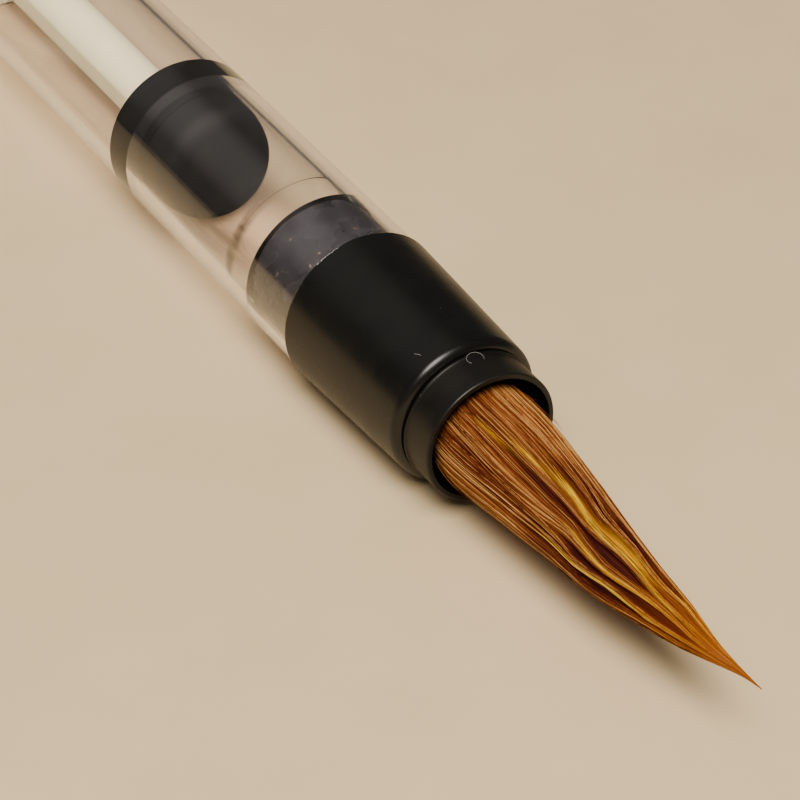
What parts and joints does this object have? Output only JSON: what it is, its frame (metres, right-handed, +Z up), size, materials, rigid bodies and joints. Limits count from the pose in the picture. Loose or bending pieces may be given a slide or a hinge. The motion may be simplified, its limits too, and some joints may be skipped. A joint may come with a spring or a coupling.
{
  "type": "piston brush pen",
  "caption": "Refillable brush pen with a pointed hair tuft, black grip section, clear piston-filled barrel, turning knob and a clip cap posted on the tail.",
  "frame": {"origin": "bottom centre of the bounding box, on the surface that the pen lies on", "axes": "+X along the pen towards the tuft's tip, +Z up, clip on the -Y side near the floor"},
  "size_m": [0.1858, 0.0158, 0.0135],
  "materials": {
    "black_gloss": "glossy moulded black with fine scuffs",
    "black_satin": "satin moulded black",
    "clear_plastic": "clear, faint pink edge tint",
    "black_silicone": "soft satin silicone",
    "white_plastic": "warm white moulded plastic",
    "weasel_hair": "wet-looking orange-brown animal hair",
    "core_hair": "dry brown animal hair",
    "binding_thread": "waxed thread",
    "resin": "amber resin",
    "fibre_wick": "bonded porous fibre",
    "oring_rubber": "matt rubber",
    "slip_washer": "low-friction washer",
    "polished_metal": "bright polished metal with hairline marks",
    "brass": "turned brass"
  },
  "bodies": {
    "barrel": {"barrel": "clear_plastic", "rod_guide": "white_plastic", "rear_collar": "black_gloss", "knob_oring": "oring_rubber"},
    "knob": {"turning_knob": "black_gloss", "drive_sleeve": "brass", "screw_spindle": "white_plastic", "knob_end_plug": "black_satin", "trim_ring": "polished_metal", "thrust_washer": "slip_washer"},
    "piston": {"piston_seal": "black_silicone", "piston_rod": "white_plastic"},
    "cap": {"cap_shell": "black_gloss", "cap_inner_sleeve": "white_plastic", "cap_band": "polished_metal", "cap_clip": "polished_metal", "cap_finial": "polished_metal", "finial_nut": "brass"},
    "grip": {"grip_section": "black_gloss", "flow_plug": "black_satin", "ink_wick": "fibre_wick"},
    "brush_head": {"ferrule": "black_gloss", "cover_hair": "weasel_hair", "core_hair": "core_hair", "root_binding": "binding_thread", "root_plug": "resin"}
  },
  "joints": [
    {"name": "knob_turn", "type": "hinge", "parent": "barrel", "child": "knob", "pos_m": [0.0411, 0.00118, 0.00675], "axis": [1, 0, 0], "range_deg": [-720, 300]},
    {"name": "piston_slide", "type": "slide", "parent": "barrel", "child": "piston", "axis": [1, 0, 0], "range_m": [-0.02401, 0.01001]},
    {"name": "cap_pull", "type": "slide", "parent": "knob", "child": "cap", "axis": [-1, 0, 0], "range_m": [0, 0.02]},
    {"name": "grip_pull", "type": "slide", "parent": "barrel", "child": "grip", "axis": [1, 0, 0], "range_m": [0, 0.01]},
    {"name": "head_pull", "type": "slide", "parent": "grip", "child": "brush_head", "axis": [1, 0, 0], "range_m": [0, 0.013]}
  ],
  "couplings": [
    {"joint": "piston_slide", "follows": "knob_turn", "m_per_rad": 0.0019099}
  ]
}
